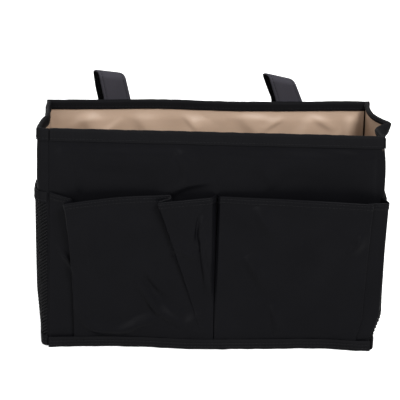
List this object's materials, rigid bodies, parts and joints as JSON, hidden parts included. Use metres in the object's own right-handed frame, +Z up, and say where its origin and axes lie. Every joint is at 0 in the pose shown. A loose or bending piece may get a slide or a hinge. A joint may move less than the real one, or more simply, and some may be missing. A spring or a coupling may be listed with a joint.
{
  "type": "bedside caddy",
  "caption": "Soft open-topped bedside caddy in stiffened cloth, with pleated front pockets, net side pockets and peel-open straps that hang it on a bed rail.",
  "frame": {"origin": "middle of the base's underside, where the caddy stands", "axes": "+X to the right along the width seen from the front, the front pockets face -Y, +Z up"},
  "size_m": [0.3373, 0.1495, 0.238],
  "materials": {
    "outer_cloth": "plain-weave coated polyester, slight sheen",
    "lining": "smooth beige lining cloth",
    "edge_tape": "ribbed woven binding tape",
    "net": "open knitted net",
    "strap_cloth": "doubled plain-weave cloth, edge stitched",
    "pile_patch": "hook-and-loop pile",
    "stiffener": "plain grey board"
  },
  "bodies": {
    "caddy": {"front_panel": "outer_cloth", "front_board": "stiffener", "front_lining": "lining", "back_panel": "outer_cloth", "back_board": "stiffener", "back_lining": "lining", "left_side_panel": "outer_cloth", "left_side_lining": "lining", "left_rim_tape": "edge_tape", "left_foot_tape": "edge_tape", "left_net_pocket": "net", "left_net_tape": "edge_tape", "right_side_panel": "outer_cloth", "right_side_lining": "lining", "right_rim_tape": "edge_tape", "right_foot_tape": "edge_tape", "right_net_pocket": "net", "right_net_tape": "edge_tape", "base_panel": "outer_cloth", "base_board": "stiffener", "base_lining": "lining", "front_rim_tape": "edge_tape", "back_rim_tape": "edge_tape", "front_foot_tape": "edge_tape", "back_foot_tape": "edge_tape", "left_front_pocket": "outer_cloth", "right_front_pocket": "outer_cloth", "left_strap_loop": "strap_cloth", "left_loop_patch": "pile_patch", "right_strap_loop": "strap_cloth", "right_loop_patch": "pile_patch"},
    "left_strap_end": {"left_strap_tail": "strap_cloth", "left_hook_patch": "pile_patch"},
    "right_strap_end": {"right_strap_tail": "strap_cloth", "right_hook_patch": "pile_patch"}
  },
  "joints": [
    {"name": "left_strap_peel", "type": "hinge", "parent": "caddy", "child": "left_strap_end", "pos_m": [-0.0941, 0.0735, 0.2305], "axis": [1, 0, 0], "range_deg": [0, 150]},
    {"name": "right_strap_peel", "type": "hinge", "parent": "caddy", "child": "right_strap_end", "pos_m": [0.0724, 0.0735, 0.2305], "axis": [1, 0, 0], "range_deg": [0, 150]}
  ]
}
